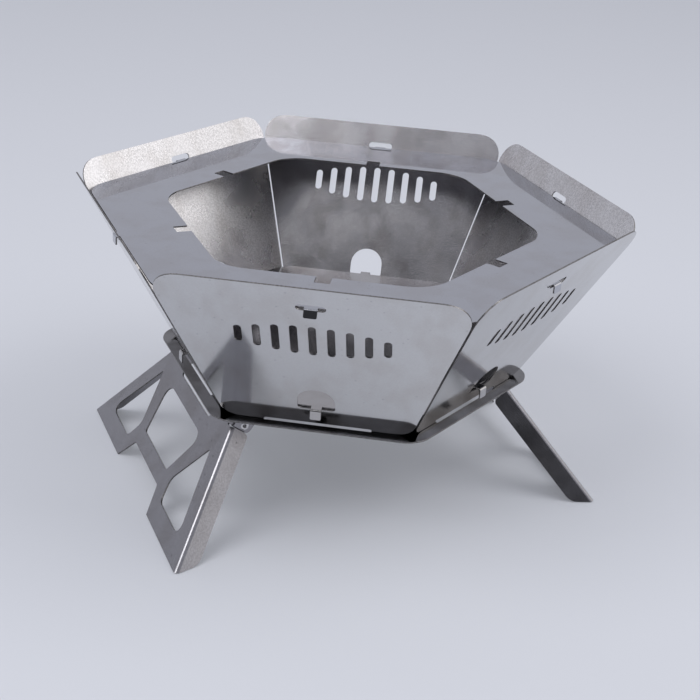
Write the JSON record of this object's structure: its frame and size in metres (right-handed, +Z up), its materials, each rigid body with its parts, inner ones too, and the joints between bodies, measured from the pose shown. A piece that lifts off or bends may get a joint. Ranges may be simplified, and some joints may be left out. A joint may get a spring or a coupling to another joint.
{
  "type": "portable grill",
  "caption": "Flat-pack hexagonal steel fire pit: vented leaning panels slotted into a base plate and held by a hooked top ring, on folding splayed legs.",
  "frame": {"origin": "centre of the footprint on the ground, at the height of the feet's bottom edges", "axes": "+Z up, +X to the right across the two legs, +Y to the rear along the leg hinges, parallel to a pair of opposite sides"},
  "size_m": [0.423, 0.4704, 0.2517],
  "materials": {
    "panel_steel": "satin stainless sheet with faint heat marks",
    "ring_steel": "glossy stainless sheet",
    "plate_steel": "glossy stainless sheet",
    "leg_steel": "satin stainless sheet",
    "bracket_steel": "satin stainless sheet",
    "rivet_steel": "bright hollow rivet"
  },
  "bodies": {
    "base": {"base_plate": "plate_steel", "hinge_lug_left_front": "bracket_steel", "hinge_lug_left_rear": "bracket_steel", "hinge_lug_right_front": "bracket_steel", "hinge_lug_right_rear": "bracket_steel", "hinge_washer_left_front": "rivet_steel", "hinge_washer_left_rear": "rivet_steel", "hinge_washer_right_front": "rivet_steel", "hinge_washer_right_rear": "rivet_steel", "hinge_rivet_left_front": "rivet_steel", "hinge_rivet_left_rear": "rivet_steel", "hinge_rivet_right_front": "rivet_steel", "hinge_rivet_right_rear": "rivet_steel"},
    "left_leg": {"leg_left": "leg_steel"},
    "right_leg": {"leg_right": "leg_steel"},
    "floor": {"fire_plate": "plate_steel"},
    "ring": {"top_ring": "ring_steel"},
    "right_panel": {"panel_right": "panel_steel"},
    "rear_right_panel": {"panel_rear_right": "panel_steel"},
    "rear_left_panel": {"panel_rear_left": "panel_steel"},
    "left_panel": {"panel_left": "panel_steel"},
    "front_left_panel": {"panel_front_left": "panel_steel"},
    "front_right_panel": {"panel_front_right": "panel_steel"}
  },
  "joints": [
    {"name": "left_leg_fold", "type": "hinge", "parent": "base", "child": "left_leg", "pos_m": [-0.11483, 0, 0.0878], "axis": [0, -1, 0], "range_deg": [0, 125.5]},
    {"name": "right_leg_fold", "type": "hinge", "parent": "base", "child": "right_leg", "pos_m": [0.11483, 0, 0.0878], "axis": [0, 1, 0], "range_deg": [0, 125.5]},
    {"name": "fire_plate_lift", "type": "slide", "parent": "base", "child": "floor", "axis": [0, 0, 1], "range_m": [0, 0.14]},
    {"name": "ring_lift", "type": "slide", "parent": "base", "child": "ring", "axis": [0, 0, 1], "range_m": [0, 0.003]},
    {"name": "right_panel_tilt", "type": "hinge", "parent": "base", "child": "right_panel", "pos_m": [0.13226, 0, 0.1015], "axis": [0, 1, 0], "range_deg": [-0.3, 0]},
    {"name": "rear_right_panel_tilt", "type": "hinge", "parent": "base", "child": "rear_right_panel", "pos_m": [0.06613, 0.11454, 0.1015], "axis": [-0.866, 0.5, 0], "range_deg": [-0.3, 0]},
    {"name": "rear_left_panel_tilt", "type": "hinge", "parent": "base", "child": "rear_left_panel", "pos_m": [-0.06613, 0.11454, 0.1015], "axis": [-0.866, -0.5, 0], "range_deg": [-0.3, 0]},
    {"name": "left_panel_tilt", "type": "hinge", "parent": "base", "child": "left_panel", "pos_m": [-0.13226, 0, 0.1015], "axis": [0, -1, 0], "range_deg": [-0.3, 0]},
    {"name": "front_left_panel_tilt", "type": "hinge", "parent": "base", "child": "front_left_panel", "pos_m": [-0.06613, -0.11454, 0.1015], "axis": [0.866, -0.5, 0], "range_deg": [-0.3, 0]},
    {"name": "front_right_panel_tilt", "type": "hinge", "parent": "base", "child": "front_right_panel", "pos_m": [0.06613, -0.11454, 0.1015], "axis": [0.866, 0.5, 0], "range_deg": [-0.3, 0]}
  ]
}
